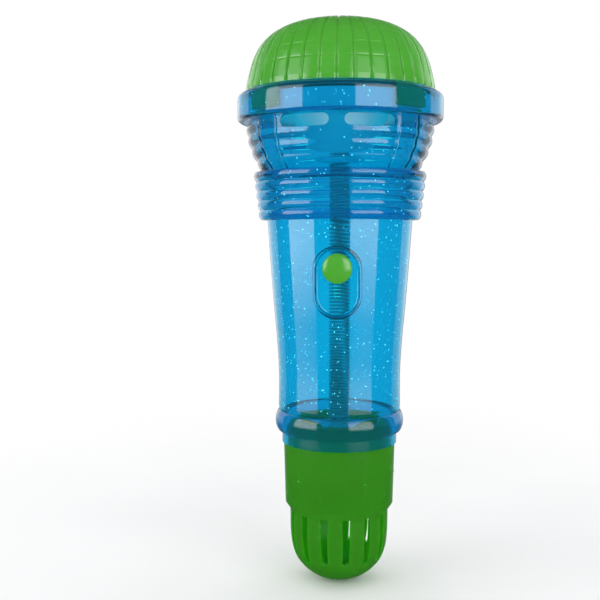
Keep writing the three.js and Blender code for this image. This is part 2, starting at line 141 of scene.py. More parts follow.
# Bowl of the head: its ribs run round the sides and fade out at the plain front and back panels.
BOWL_R = 42.3
BOWL_WIDEST = 80.0
BOWL_CURVE = 0.0168
BOWL_BORE_FOOT_R = 32.2
RIB_PITCH = 5.5
RIB_COUNT = 4
RIB_TOP = 80.65
RIB_BOTTOM = RIB_TOP - RIB_COUNT * RIB_PITCH
RIB_DEPTH = 1.0
PANEL_EDGE = math.radians(55.5)
PANEL_BLEND = math.radians(30)
PANEL_GROOVE_DEPTH = 0.35
PANEL_GROOVE_HALF_DEGREES = 1.6

# Field in the middle of each panel: sunk, with a bead along both edges and three soft ridges.
FIELD_EDGE = math.radians(39)
FIELD_BLEND = math.radians(0.9)
FIELD_SINK = 0.25
FIELD_BEAD_HEIGHT = 0.35
FIELD_BEAD_HALF_DEGREES = 1.3
FIELD_RIDGES = (74.05, 68.7, 63.4)
FIELD_RIDGE_HEIGHT = 0.45
FIELD_RIDGE_HALF = 2.3

# Sound slots, on both sides of each panel's middle.
SLOT_NEAR = 3.2
SLOT_FAR = 24.0
SLOT_Z = 78.8
SLOT_HEIGHT = 5.2
SLOT_CHAMFER = 0.45

# Collar: rounded rings over the top of the barrel.
COLLAR_TOP = 59.3
COLLAR_R_TOP = 39.1
COLLAR_R_BOTTOM = 36.5
COLLAR_RINGS = 5
COLLAR_RING_DEPTH = 0.9

# Barrel, from the spigot under the collar down to the neck that meets the cap.
SPIGOT_R_BOTTOM = 33.3
BARREL_SIDE = [(27.8, -46.5), (27.75, -31), (28.6, -16), (30.1, 1), (31.5, 19), (32.8, 37.8)]
BULGE_R = 29.3
BULGE_FOOT_R = 27.5
BULGE_Z = -53.0
BULGE_HALF = 4.8
NECK_R = 26.2
NECK_BORE_TOP = -50.2
BORE_SHOULDER = (25.6, -48.3)

# Switch: a knob in a stadium recess that lies along the barrel's slope there, 1.4 in 18.
SWITCH_Z = 10.8
SWITCH_R = 30.86
SWITCH_TILT = math.atan(1.4 / 18)
RECESS_WIDTH = 18.8
RECESS_LENGTH = 29.2
RECESS_DEPTH = 2.6
RECESS_FLOOR = 1.6
PAD_INSET = 0.8
KNOB_R = 6.45
KNOB_CROWN = 2.0
KNOB_SIDE = 1.6
STEM_R = 1.3
STEM_PAST_FLOOR = 2.4
SWITCH_TRAVEL = 12.2

# Cap: skirt, vented nose, the sleeve that plugs into the barrel, and a ledge in the sleeve.
CAP_TOP = -63.3
CAP_SKIRT_BOTTOM = -91.0
CAP_STEP_BOTTOM = -94.1
CAP_R_BOTTOM = 24.7
CAP_BORE = 22.1
SLEEVE_R = 23.9
LEDGE_Z = -61
LEDGE_WIDTH = 1.6
NOSE_R = 22.5
NOSE_TOP = -96
NOSE_WALL = 1.5
NOSE = [
    (0, BOTTOM), (6, -126.6), (11, -124.9), (15, -122.2), (17.6, -119.6), (19.5, -117), (20.8, -114),
    (21.8, -110), (22.4, -104),
]
VENT_COUNT = 14
VENT_WIDTH = 3.7
VENT_TIP = 1.6
VENT_TOP = -94.4
VENT_BOTTOM = -115.7
VENT_TURN = math.radians(10.5)

# Tiny round moulding marks on the skirt.
MARK_COUNT = 5
MARK_TURN = math.radians(29)
MARK_R = 0.8
MARK_OUT = 25.1
MARK_Z = -78.3

# Echo spring: its pitch at the bottom and at the top.
SPRING_R = 4.45
SPRING_WIRE = 0.9
SPRING_PITCH = (1.2, 1.9)

# Diaphragm cup.
CUP_HOLE_R = 1.5
CUP_FLOOR_R = 8.8
CUP_MOUTH_R = 21.5
CUP_SKIN = 0.7
CUP_ROUND = 0.6

# Foil flakes: how large they are, how far they lean and turn in radians, how deep they lie under
# each surface, and the patches round the recess and the sound slots that stay free of them.
FLAKE_SIZE = (0.13, 0.35)
FLAKE_THICKNESS = 0.04
FLAKE_TILT = 0.7
FLAKE_SPIN = 6.3
BARREL_FLAKE_DEPTH = 0.5
COLLAR_FLAKE_DEPTH = 1.5
BOWL_FLAKE_DEPTH = RIB_DEPTH + 1.0
RIM_FLAKE_DEPTH = 0.5
RECESS_FREE_HALF_WIDTH = RECESS_WIDTH / 2 + 3.1
RECESS_FREE_HALF_LENGTH = RECESS_LENGTH / 2 + 3.4
SLOT_FREE_HALF_HEIGHT = SLOT_HEIGHT / 2 + 1
SLOT_FREE_NEAR = SLOT_NEAR - 0.9
SLOT_FREE_FAR = SLOT_FAR + 1
SLOT_FLAKE_R = 40

# ---------------------------------------------------------------- studio, metres

# Camera: its distance from the axis, and how far it turns away from the axis and looks down.
CAMERA_DISTANCE = 0.425
CAMERA_AZIMUTH = math.radians(2.0)
CAMERA_HEIGHT = 0.0295
CAMERA_YAW = math.radians(2.44)
CAMERA_PITCH = math.radians(3.75)
CAMERA_LENS = 55.8
CAMERA_SENSOR = 36.0

# Softboxes: azimuth in degrees, width, power as a lamp that lights, and power as seen in gloss.
SOFTBOXES = {
    "left": (-61, 0.8, 5, 11),
    "right": (41, 0.8, 5, 10),
    "back_left": (-138, 0.74, 3, 2),
    "back_right": (138, 0.74, 3, 2),
}

# The two lamps of each softbox: height, distance from the axis, and height of the middle.
LIGHTING_LAMP = (1.0, 0.97, 0.1)
GLOSS_LAMP = (1.2, 0.95, 0.3)

# The gloss lamp's strength for each unit of power, and its shares of it from its lower edge up.
GLOSS_POWER = 1.36
GLOSS_FADE = ((0.0, 0.0), (0.18, 1.0), (0.62, 1.0), (0.72, 0.35))

# The world's brightness: as a light, and in reflections of the back and of everything else.
WORLD_LIGHT = 0.8
WORLD_BACK_GLOSS = 0.5
WORLD_GLOSS = 0.06

# Floor: its drop under the cap, its half size, and where it fades into the surround.
FLOOR_DROP = 0.2 * MM
FLOOR_HALF = 3.0
FLOOR_FADE = (0.15, 0.55)


# ---------------------------------------------------------------- curves

def lerp(a, b, share):
    return a + (b - a) * share


def clamp(share):
    return min(1.0, max(0.0, share))


def hump(distance, half):
    """A smooth hump: 1 at distance 0, and 0 from half outwards."""
    return max(0.0, 1 - (distance / half) ** 2) ** 2


def arc(centre, radius, start, end, steps):
    """Points of a circular arc, in degrees counted from +radius towards +height."""
    points = []
    for i in range(steps + 1):
        angle = math.radians(lerp(start, end, i / steps))
        points.append((centre[0] + radius * math.cos(angle), centre[1] + radius * math.sin(angle)))
    return points


def bezier(p0, p1, p2, p3, steps):
    points = []
    for i in range(steps + 1):
        t = i / steps
        weights = ((1 - t) ** 3, 3 * t * (1 - t) ** 2, 3 * t * t * (1 - t), t ** 3)
        points.append(tuple(
            sum(weight * point[k] for weight, point in zip(weights, (p0, p1, p2, p3)))
            for k in (0, 1)))
    return points


def smooth_through(points, steps):
    """A Catmull-Rom curve through the points, with steps on each span."""
    ends = [points[0], *points, points[-1]]
    result = []
    for a, b, c, d in zip(ends, ends[1:], ends[2:], ends[3:]):
        for i in range(steps):
            t = i / steps
            result.append(tuple(
                0.5 * (2 * b[k] + (c[k] - a[k]) * t + (2 * a[k] - 5 * b[k] + 4 * c[k] - d[k]) * t * t
                       + (3 * b[k] - a[k] - 3 * c[k] + d[k]) * t ** 3)
                for k in (0, 1)))
    return [*result, points[-1]]


def ring_row(z_from, z_to, rings, depth, crest, steps):
    """A row of rounded rings whose crests touch the radius crest(z)."""
    points = []
    for i in range(rings * steps + 1):
        z = lerp(z_from, z_to, i / (rings * steps))
        swell = abs(math.sin(math.pi * i / steps)) ** 0.8
        points.append((crest(z) - depth * (1 - swell), z))
    return points


# ---------------------------------------------------------------- mesh building

def sharpen(piece, degrees):
    """Shades a piece smooth, but for the edges where its faces turn by more than an angle."""
    for polygon in piece.data.polygons:
        polygon.use_smooth = True
    piece.data.set_sharp_from_angle(angle=math.radians(degrees))


def finish_mesh(name, bm):
    """Turns a bmesh in millimetres into a smooth-shaded object in metres."""
    bmesh.ops.remove_doubles(bm, verts=bm.verts, dist=1e-5)
    bmesh.ops.dissolve_degenerate(bm, edges=bm.edges, dist=1e-5)
    bmesh.ops.recalc_face_normals(bm, faces=bm.faces)
    bmesh.ops.scale(bm, vec=(MM, MM, MM), verts=bm.verts)
    mesh = bpy.data.meshes.new(name)
    bm.to_mesh(mesh)
    bm.free()
    piece = bpy.data.objects.new(name, mesh)
    bpy.context.scene.collection.objects.link(piece)
    sharpen(piece, 35)
    return piece


def even_angles(columns):
    return [2 * math.pi * i / columns for i in range(columns)]


def revolve(outline, angles=None, relief=None, whole=True):
    """A closed outline turned about Z, all the way round or only from the first angle to the last.

    relief(r, z, column) gives the moved radius, height and azimuth.
    """
    angles = angles or even_angles(192)
    bm = bmesh.new()
    rings = []
    for column, angle in enumerate(angles):
        ring = []
        for r, z in outline:
            turned_r, turned_z, turned_angle = (r, z, angle) if relief is None else relief(r, z, column)
            ring.append(bm.verts.new((
                turned_r * math.sin(turned_angle), -turned_r * math.cos(turned_angle), turned_z)))
        rings.append(ring)
    for ring, after in zip(rings, rings[1:] + rings[:1] if whole else rings[1:]):
        for i in range(len(outline)):
            j = (i + 1) % len(outline)
            if outline[i][0] > 0 or outline[j][0] > 0:
                bm.faces.new((ring[i], after[i], after[j], ring[j]))
    if not whole:
        bm.faces.new(rings[0][::-1])
        bm.faces.new(rings[-1])
    return bm


def stadium(width, height, steps=20):
    """Points of a stadium outline in X and Z, centred on the origin."""
    radius = min(width, height) / 2
    reach_x, reach_z = width / 2 - radius, height / 2 - radius
    points = []
    for i in range(4 * steps):
        angle = 2 * math.pi * (i + 0.5) / (4 * steps)
        x, z = math.cos(angle), math.sin(angle)
        points.append((radius * x + math.copysign(reach_x, x), radius * z + math.copysign(reach_z, z)))
    return points


def stacked(loops):
    """A solid through loops of points, each loop given as (outline, y), where y may depend on x."""
    bm = bmesh.new()
    rows = []
    for outline, y in loops:
        rows.append([bm.verts.new((x, y(x) if callable(y) else y, z)) for x, z in outline])
    for row, after in zip(rows, rows[1:]):
        for i in range(len(row)):
            j = (i + 1) % len(row)
            bm.faces.new((row[i], row[j], after[j], after[i]))
    bm.faces.new(rows[0])
    bm.faces.new(rows[-1][::-1])
    return bm


def boolean(piece, cutter, operation):
    """Joins or cuts one object with another, and removes the cutter."""
    modifier = piece.modifiers.new("cut", "BOOLEAN")
    modifier.operation = operation
    modifier.solver = "EXACT"
    modifier.object = cutter
    depsgraph = bpy.context.evaluated_depsgraph_get()
    mesh = bpy.data.meshes.new_from_object(piece.evaluated_get(depsgraph))
    piece.modifiers.clear()
    old = piece.data
    mesh.name = old.name
    piece.data = mesh
    bpy.data.meshes.remove(old)
    bpy.data.objects.remove(cutter)


def at_switch(bm):
    """Moves a shape drawn at the recess, with y = 0 on the barrel's surface, to its place."""
    bmesh.ops.rotate(bm, cent=(0, 0, 0), matrix=Euler((SWITCH_TILT, 0, 0)).to_matrix(), verts=bm.verts)
    bmesh.ops.translate(bm, vec=(0, -SWITCH_R, SWITCH_Z), verts=bm.verts)
    return bm


# ---------------------------------------------------------------- materials

def new_material(name):
    material = bpy.data.materials.new(name)
    material.use_nodes = True
    nodes = material.node_tree.nodes
    return material, nodes, material.node_tree.links, nodes["Principled BSDF"]


def noise(nodes, links, scale, detail, roughness=0.5):
    """A noise texture's value in object space; scale is in features per metre."""
    coordinates = nodes.new("ShaderNodeTexCoord")
    texture = nodes.new("ShaderNodeTexNoise")
    texture.inputs["Scale"].default_value = scale
    texture.inputs["Detail"].default_value = detail
    texture.inputs["Roughness"].default_value = roughness
    links.new(coordinates.outputs["Object"], texture.inputs["Vector"])
    return texture.outputs["Fac"]


def ramp(nodes, links, value, stops, *sockets):
    """Drives sockets by a value, through (position, colour) stops; a colour may be one grey number."""
    node = nodes.new("ShaderNodeValToRGB")
    elements = node.color_ramp.elements
    while len(elements) < len(stops):
        elements.new(0.5)
    for element, (position, colour) in zip(elements, stops):
        element.position = position
        element.color = (*colour, 1) if isinstance(colour, tuple) else (colour, colour, colour, 1)
    links.new(value, node.inputs["Fac"])
    for socket in sockets:
        links.new(node.outputs["Color"], socket)


def bump(nodes, links, height, shader, strength, distance):
    """Makes a shader's surface uneven by a height; distance is in metres."""
    node = nodes.new("ShaderNodeBump")
    node.inputs["Strength"].default_value = strength
    node.inputs["Distance"].default_value = distance
    links.new(height, node.inputs["Height"])
    links.new(node.outputs["Normal"], shader.inputs["Normal"])


def mix_on_surface(nodes, links, first, second):
    """Mixes two shaders on the surface, and gives the socket for the second one's share."""
    mix = nodes.new("ShaderNodeMixShader")
    links.new(first.outputs[0], mix.inputs[1])
    links.new(second.outputs[0], mix.inputs[2])
    links.new(mix.outputs["Shader"], nodes["Material Output"].inputs["Surface"])
    return mix.inputs["Fac"]


def green_plastic(name, dark, light, polished, rubbed, glow_depth, let_through):
    """Semi-gloss moulded green: faint flow marks in colour, and patches that handling has rubbed.

    polished and rubbed are roughness values; let_through is the share of light that passes a wall.
    """
    material, nodes, links, shader = new_material(name)
    flow = noise(nodes, links, scale=45, detail=4)
    ramp(nodes, links, flow, ((0.3, dark), (0.7, light)), shader.inputs["Base Color"])
    rub = noise(nodes, links, scale=160, detail=5, roughness=0.6)
    ramp(nodes, links, rub, ((0.35, polished), (0.7, rubbed)), shader.inputs["Roughness"])
    peel = noise(nodes, links, scale=500, detail=2)
    bump(nodes, links, peel, shader, strength=0.12, distance=0.00002)
    shader.inputs["Subsurface Weight"].default_value = 0.8
    shader.inputs["Subsurface Radius"].default_value = (0.25, 1.0, 0.12)
    shader.inputs["Subsurface Scale"].default_value = glow_depth
    passed = nodes.new("ShaderNodeBsdfTranslucent")
    passed.inputs["Color"].default_value = (0.15, 0.85, 0.04, 1)
    mix_on_surface(nodes, links, shader, passed).default_value = let_through
    return material


def clear_blue(name, tint):
    """Clear plastic, tinted where light crosses its surface and a little more where it is thick.

    Shadow rays cross each wall with the square root of the tint, so the lamps light what is inside.
    """
    material, nodes, links, shader = new_material(name)
    streak = noise(nodes, links, scale=35, detail=3)
    deeper_tint = tuple(0.97 * part for part in tint)
    ramp(nodes, links, streak, ((0.3, tint), (0.7, deeper_tint)), shader.inputs["Base Color"])
    wear = noise(nodes, links, scale=120, detail=3)
    ramp(nodes, links, wear, ((0.4, 0.06), (0.8, 0.09)), shader.inputs["Roughness"])
    ripple = noise(nodes, links, scale=30, detail=1)
    bump(nodes, links, ripple, shader, strength=0.03, distance=0.0003)
    shader.inputs["Transmission Weight"].default_value = 0.97
    shader.inputs["IOR"].default_value = 1.46
    passing = nodes.new("ShaderNodeBsdfTransparent")
    passing.inputs["Color"].default_value = tuple(math.sqrt(part) for part in (*tint, 1))
    light_path = nodes.new("ShaderNodeLightPath")
    links.new(light_path.outputs["Is Shadow Ray"], mix_on_surface(nodes, links, shader, passing))
    depth = nodes.new("ShaderNodeVolumeAbsorption")
    depth.inputs["Color"].default_value = (0.0, 0.83, 0.92, 1)
    depth.inputs["Density"].default_value = 560
    links.new(depth.outputs["Volume"], nodes["Material Output"].inputs["Volume"])
    return material


def natural_plastic():
    """Thin uncoloured plastic, slightly cloudy."""
    material, nodes, links, shader = new_material("natural_white")
    cloud = noise(nodes, links, scale=70, detail=4)
    greys = ((0.3, (0.82, 0.86, 0.86)), (0.7, (0.88, 0.9, 0.9)))
    ramp(nodes, links, cloud, greys, shader.inputs["Base Color"])
    ramp(nodes, links, cloud, ((0.3, 0.32), (0.7, 0.42)), shader.inputs["Roughness"])
    return material


def spring_steel():
    """Drawn wire: dull grey steel with fine streaks."""
    material, nodes, links, shader = new_material("spring_wire")
    streak = noise(nodes, links, scale=700, detail=3)
    greys = ((0.3, (0.30, 0.31, 0.32)), (0.7, (0.42, 0.43, 0.44)))
    ramp(nodes, links, streak, greys, shader.inputs["Base Color"])
    ramp(nodes, links, streak, ((0.3, 0.28), (0.7, 0.42)), shader.inputs["Roughness"])
    shader.inputs["Metallic"].default_value = 1.0
    return material


def glowing_glitter_foil():
    """Metallised flakes, from white to pale cyan from one flake to the next, which also glow in those
    colours: a painted sparkle that keeps them bright.
    """
    material, nodes, links, shader = new_material("glowing_glitter_foil")
    patch = noise(nodes, links, scale=400, detail=1)
    cyan_to_white = ((0.4, (0.8, 0.95, 1.0)), (0.6, (1.0, 1.0, 1.0)))
    colour_and_glow_sockets = shader.inputs["Base Color"], shader.inputs["Emission Color"]
    ramp(nodes, links, patch, cyan_to_white, *colour_and_glow_sockets)
    # Painted sparkle: the flakes give off light in their own colour, though they are no lamp.
    shader.inputs["Emission Strength"].default_value = 1.1
    shader.inputs["Roughness"].default_value = 0.25
    return material


DOME_GREEN = green_plastic(
    "moulded_green_dome", dark=(0.066, 0.34, 0.028), light=(0.084, 0.38, 0.04),
    polished=0.16, rubbed=0.23, glow_depth=0.0015, let_through=0.0)
# The cap is the same green plastic as the dome, with its greens painted darker for the weaker light and
# the shade low on the object.
SHADED_CAP_GREEN = green_plastic(
    "moulded_green_cap_painted_shade", dark=(0.047, 0.262, 0.012), light=(0.057, 0.292, 0.016),
    polished=0.22, rubbed=0.28, glow_depth=0.005, let_through=0.4)
BLUE = clear_blue("clear_blue_head", (0.03, 0.65, 0.85))
BARREL_BLUE = clear_blue("clear_blue_barrel", (0.04, 0.74, 0.91))
PALE = natural_plastic()
STEEL = spring_steel()
GLOWING_FOIL = glowing_glitter_foil()


def add_piece(piece, body, slot, material, *nodes):
    """Gives a piece its material and its body, and hides the CAD nodes that it stands for."""
    piece.data.materials.clear()
    piece.data.materials.append(material)
    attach(piece, body)
    if nodes:
        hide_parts(*nodes)


# ---------------------------------------------------------------- dome

def dome_curve(inset, steps):
    foot = (DOME_R - inset, DOME_FOOT)
    side = (DOME_SIDE_HANDLE[0] - inset, DOME_SIDE_HANDLE[1] - inset / 2)
    crown = (DOME_TOP_HANDLE[0] - inset, DOME_TOP_HANDLE[1] - inset)
    return bezier(foot, side, crown, (0, TOP - inset), steps)


def seam_column(r, column):
    """Azimuth of a column of the dome at a radius, and its share of the seam's depth."""
    seam, place = divmod(column, len(SEAM_COLUMNS) + len(SEAM_BETWEEN))
    seam_angle = 2 * math.pi / SEAM_COUNT
    half = SEAM_COLUMNS[-1][0]
    r = max(r, 1e-6)
    shrink = min(1.0, SEAM_WIDEST * seam_angle * r / half)
    if place < len(SEAM_COLUMNS):
        offset, share = SEAM_COLUMNS[place]
        return seam * seam_angle + offset * shrink / r, share
    edge = half * shrink / r
    between = SEAM_BETWEEN[place - len(SEAM_COLUMNS)]
    return seam * seam_angle + lerp(edge, seam_angle - edge, between), 0.0


def make_dome():
    """The dome's skin has grooves along its seams and shallower bands, and tabs under its edge."""
    foot_rows = [(DOME_R, SEAM_FOOT), (DOME_R, SEAM_FOOT + SEAM_FOOT_ROW)]
    outer = dome_curve(0, 150)
    outside = {*foot_rows, *outer}
    inner = dome_curve(WALL, 30)
    outline = [(DOME_R - WALL, DOME_BOTTOM), (DOME_R, DOME_BOTTOM), *foot_rows, *outer, *inner[::-1]]

    def relief(r, z, column):
        angle, seam_share = seam_column(r, column)
        if (r, z) not in outside:
            return r, z, angle
        foot_fade = clamp((z - SEAM_FOOT + SEAM_FOOT_ROW) / SEAM_FOOT_FADE)
        depth = SEAM_DEPTH * seam_share * (foot_fade * clamp((r - SEAM_END_R) / SEAM_END_FADE))
        for band in BANDS:
            depth = max(depth, BAND_DEPTH * clamp(BAND_FLATNESS * (1 - abs(z - band) / BAND_HALF)))
        slope = clamp((z - DOME_FOOT) / (TOP - DOME_FOOT)) ** 1.5
        return r - depth * (1 - slope), z - depth * slope, angle

    columns = SEAM_COUNT * (len(SEAM_COLUMNS) + len(SEAM_BETWEEN))
    piece = finish_mesh("dome_shell", revolve(outline, even_angles(columns), relief))
    tab_top = DOME_BOTTOM + 0.5
    tab_outline = [
        (TAB_INNER_R, TAB_BOTTOM),
        (TAB_R - 0.5, TAB_BOTTOM),
        (TAB_R, TAB_BOTTOM + 0.5),
        (TAB_R, TAB_HOOK_Z),
        (DOME_R - 0.1, TAB_HOOK_Z + 0.4),
        (DOME_R - 0.1, tab_top),
        (TAB_INNER_R, tab_top),
    ]
    for i in range(TAB_COUNT):
        middle = TAB_TURN + 2 * math.pi * i / TAB_COUNT
        spread = [middle + TAB_HALF_ANGLE * (step / 8 - 1) for step in range(17)]
        boolean(piece, finish_mesh("tab", revolve(tab_outline, spread, whole=False)), "UNION")
    sharpen(piece, 50)
    add_piece(piece, "housing", "green_plastic", DOME_GREEN, "grille_dome")


# ---------------------------------------------------------------- clear head

def make_rim():
    bore = FLANGE_R + GAP
    foot, shoulder = RIM_FOOT_ROUND, RIM_SHOULDER_ROUND
    outline = [
        (bore, RIM_BOTTOM),
        *arc((RIM_R - foot, RIM_BOTTOM + foot), foot, -90, 0, 14),
        *arc((RIM_R - shoulder, RIM_SHOULDER), shoulder, 0, 65, 14),
        (RIM_LIP_R + RIM_LIP_CHAMFER, RIM_TOP),
        (RIM_LIP_R, RIM_TOP - RIM_LIP_CHAMFER),
        (RIM_LIP_R, RIM_LIP_BOTTOM),
        (bore, RIM_LIP_BOTTOM),
    ]
    piece = finish_mesh("rim_clear", revolve(outline))
    add_piece(piece, "housing", "clear_blue_plastic", BLUE, "rim_ring")


def bowl_radius(z):
    return BOWL_R - BOWL_CURVE * (BOWL_WIDEST - z) ** 2


def bowl_points(inset, z_from, z_to, steps):
    """The bowl's profile between two heights, moved inwards by an inset."""
    heights = [lerp(z_from, z_to, i / steps) for i in range(steps + 1)]
    return [(bowl_radius(z) - inset, z) for z in heights]


def collar_crest(z):
    """Radius of the crests of the collar's rings at a height."""
    return lerp(COLLAR_R_BOTTOM, COLLAR_R_TOP, (z - COLLAR_BOTTOM) / (COLLAR_TOP - COLLAR_BOTTOM))


def head_angles():
    """Even columns, with extra ones where the edges of the panels and their fields step."""
    angles = even_angles(180)
    for middle in (0, math.pi):
        for side in (-1, 1):
            for edge in (PANEL_EDGE, FIELD_EDGE):
                for step in range(-6, 7):
                    angles.append((middle + side * (edge + math.radians(0.4 * step))) % (2 * math.pi))
    return sorted(angles)


def bowl_relief(angle, z):
    """How far the bowl's skin stands out: ribs at the sides, and a framed field on each panel."""
    from_panel = min(abs(math.remainder(angle - middle, 2 * math.pi)) for middle in (0, math.pi))
    rib = 0.0 if z > RIB_TOP else math.sin(math.pi * (z - RIB_BOTTOM) / RIB_PITCH) ** 2
    side_height = RIB_DEPTH * (0.2 + 0.8 * rib ** 0.7)
    ridge = max(hump(z - middle, FIELD_RIDGE_HALF) for middle in FIELD_RIDGES)
    bead = hump(math.degrees(from_panel - FIELD_EDGE), FIELD_BEAD_HALF_DEGREES)
    field_share = clamp((FIELD_EDGE - from_panel) / FIELD_BLEND + 0.5)
    panel_height = FIELD_RIDGE_HEIGHT * ridge + FIELD_BEAD_HEIGHT * bead - FIELD_SINK * field_share
    side_share = clamp((from_panel - PANEL_EDGE) / PANEL_BLEND)
    side_share = side_share ** 2 * (3 - 2 * side_share)
    groove = hump(math.degrees(from_panel - PANEL_EDGE), PANEL_GROOVE_HALF_DEGREES)
    return lerp(panel_height, side_height, side_share) - PANEL_GROOVE_DEPTH * groove


def slot_outline(side, growth):
    """Outline of the sound slot on one side of a panel's middle, in X and Z."""
    middle = side * (SLOT_NEAR + SLOT_FAR) / 2
    width, height = SLOT_FAR - SLOT_NEAR + 2 * growth, SLOT_HEIGHT + 2 * growth
    return [(middle + x, SLOT_Z + z) for x, z in stadium(width, height, 12)]


def slot_cutter(side, facing):
    """Cuts a sound slot at the back (facing 1) or the front (-1), with a chamfer round its mouth.

    The chamfer starts 0.5 mm below the skin between the ribs, and is widest 0.6 mm above it.
    """
    def below_skin(depth):
        return lambda x: facing * (math.sqrt((BOWL_R - RIB_DEPTH) ** 2 - x ** 2) - depth)

    plain, wide = slot_outline(side, 0), slot_outline(side, SLOT_CHAMFER)
    return finish_mesh("cutter", stacked([
        (plain, facing * 20),
        (plain, below_skin(0.5)),
        (wide, below_skin(-0.6)),
        (wide, facing * 60),
    ]))


def make_head():
    angles = head_angles()
    collar_wall = COLLAR_RING_DEPTH + WALL
    rib_rows = bowl_points(RIB_DEPTH, COLLAR_TOP, RIM_BOTTOM, 96)
    ribbed = set(rib_rows)
    outline = [
        (COLLAR_R_BOTTOM - collar_wall, COLLAR_BOTTOM),
        *ring_row(COLLAR_BOTTOM, COLLAR_TOP, COLLAR_RINGS, COLLAR_RING_DEPTH, collar_crest, 12),
        *rib_rows,
        (FLANGE_R, RIM_BOTTOM),
        (FLANGE_R, FLANGE_TOP),
        (bowl_radius(FLANGE_TOP) - RIB_DEPTH - WALL, FLANGE_TOP),
        *bowl_points(RIB_DEPTH + WALL, COLLAR_TOP, RIM_BOTTOM, 24)[::-1],
        (BOWL_BORE_FOOT_R, COLLAR_TOP - WALL),
        (COLLAR_R_TOP - collar_wall, COLLAR_TOP - WALL),
    ]

    def relief(r, z, column):
        angle = angles[column]
        if (r, z) not in ribbed:
            return r, z, angle
        return r + bowl_relief(angle, z), z, angle

    piece = finish_mesh("head_clear", revolve(outline, angles, relief))
    for side in (-1, 1):
        for facing in (-1, 1):
            boolean(piece, slot_cutter(side, facing), "DIFFERENCE")
    sharpen(piece, 30)
    add_piece(piece, "housing", "clear_blue_plastic", BLUE, "head_shell")


# ---------------------------------------------------------------- barrel

def barrel_outline(inset=0.0):
    """The outer profile, from the neck's foot up to the spigot's top, moved inwards by an inset."""
    steps = 24
    bulge = []
    for i in range(steps + 1):
        z = lerp(BULGE_Z - BULGE_HALF, BULGE_Z + BULGE_HALF, i / steps)
        swell = math.sin(math.pi * i / steps) ** 0.6
        bulge.append((lerp(BULGE_FOOT_R, BULGE_R, swell), z))
    foot = BULGE_Z - BULGE_HALF
    points = [
        (NECK_R, BARREL_BOTTOM),
        (NECK_R, foot - 0.8),
        (NECK_R + 0.5, foot - 0.3),
        *bulge,
        *smooth_through(BARREL_SIDE, 36),
        (SPIGOT_R_BOTTOM, COLLAR_BOTTOM + 0.5),
        (BARREL_TOP_R, BARREL_TOP),
    ]
    return [(r - inset, z) for r, z in points]


def barrel_bore():
    return [
        (NECK_R - WALL, BARREL_BOTTOM),
        (NECK_R - WALL, NECK_BORE_TOP),
        BORE_SHOULDER,
        *[(r - WALL, z) for r, z in smooth_through(BARREL_SIDE, 8)],
        (BARREL_TOP_R - WALL, BARREL_TOP),
    ]


def recess_outline(growth):
    return stadium(RECESS_WIDTH + 2 * growth, RECESS_LENGTH + 2 * growth, 28)


def recess_pad():
    """The thick patch behind the recess, trimmed to stay inside the barrel's skin."""
    back = RECESS_DEPTH + RECESS_FLOOR
    pad = finish_mesh("pad", at_switch(stacked([
        (recess_outline(1.3), -3), (recess_outline(1.2), back - 0.6), (recess_outline(0.7), back)])))
    skin = revolve([*barrel_outline(PAD_INSET), (0, BARREL_TOP), (0, BARREL_BOTTOM)])
    boolean(pad, finish_mesh("skin", skin), "INTERSECT")
    return pad


def recess_cutter():
    """Cuts the recess, with a narrow groove and a low lip round its mouth and a round at its floor."""
    def below_skin(depth):
        return lambda x: depth + SWITCH_R - math.sqrt(SWITCH_R ** 2 - x ** 2)

    return finish_mesh("recess", at_switch(stacked([
        (recess_outline(0.3), -4),
        (recess_outline(0.3), below_skin(-0.1)),
        (recess_outline(0.0), below_skin(0.6)),
        (recess_outline(-0.35), below_skin(0.3)),
        (recess_outline(-0.5), RECESS_DEPTH - 0.4),
        (recess_outline(-0.62), RECESS_DEPTH - 0.12),
        (recess_outline(-0.9), RECESS_DEPTH),
    ])))


def stem_slot_cutter():
    width = 2 * (STEM_R + GAP)
    outline = stadium(width, SWITCH_TRAVEL + width, 8)
    past_floor = RECESS_DEPTH + RECESS_FLOOR + 3
    return finish_mesh("slot", at_switch(stacked([(outline, 1), (outline, past_floor)])))


def make_barrel():
    piece = finish_mesh("barrel_clear", revolve([*barrel_outline(), *barrel_bore()[::-1]]))
    boolean(piece, recess_pad(), "UNION")
    boolean(piece, recess_cutter(), "DIFFERENCE")
    boolean(piece, stem_slot_cutter(), "DIFFERENCE")
    sharpen(piece, 20)
    add_piece(piece, "housing", "clear_blue_plastic", BARREL_BLUE, "barrel")


# ---------------------------------------------------------------- switch

def lie_along_y(bm, z):
    """Turns a revolved shape so that its axis runs along Y, with its top facing -Y."""
    bmesh.ops.rotate(bm, cent=(0, 0, 0), matrix=Euler((math.pi / 2, 0, 0)).to_matrix(), verts=bm.verts)
    bmesh.ops.translate(bm, vec=(0, 0, z), verts=bm.verts)
    return bm


def make_knob():
    """A domed button at the top of its travel, with a stem that ends behind the recess."""
    under = RECESS_DEPTH - GAP
    tail = -RECESS_DEPTH - RECESS_FLOOR - STEM_PAST_FLOOR
    quarter = [math.pi / 2 * i / 24 for i in range(25)]
    outline = [
        (0, tail),
        (STEM_R, tail),
        (STEM_R, -under),
        (KNOB_R - 0.35, -under),
        (KNOB_R, -under + 0.35),
        *[(KNOB_R * math.cos(a), -(under - KNOB_SIDE) + KNOB_CROWN * math.sin(a)) for a in quarter],
    ]
    bm = at_switch(lie_along_y(revolve(outline, even_angles(96)), SWITCH_TRAVEL / 2))
    add_piece(finish_mesh("knob_cap", bm), "switch", "green_plastic", DOME_GREEN, "switch_knob")


# ---------------------------------------------------------------- cap

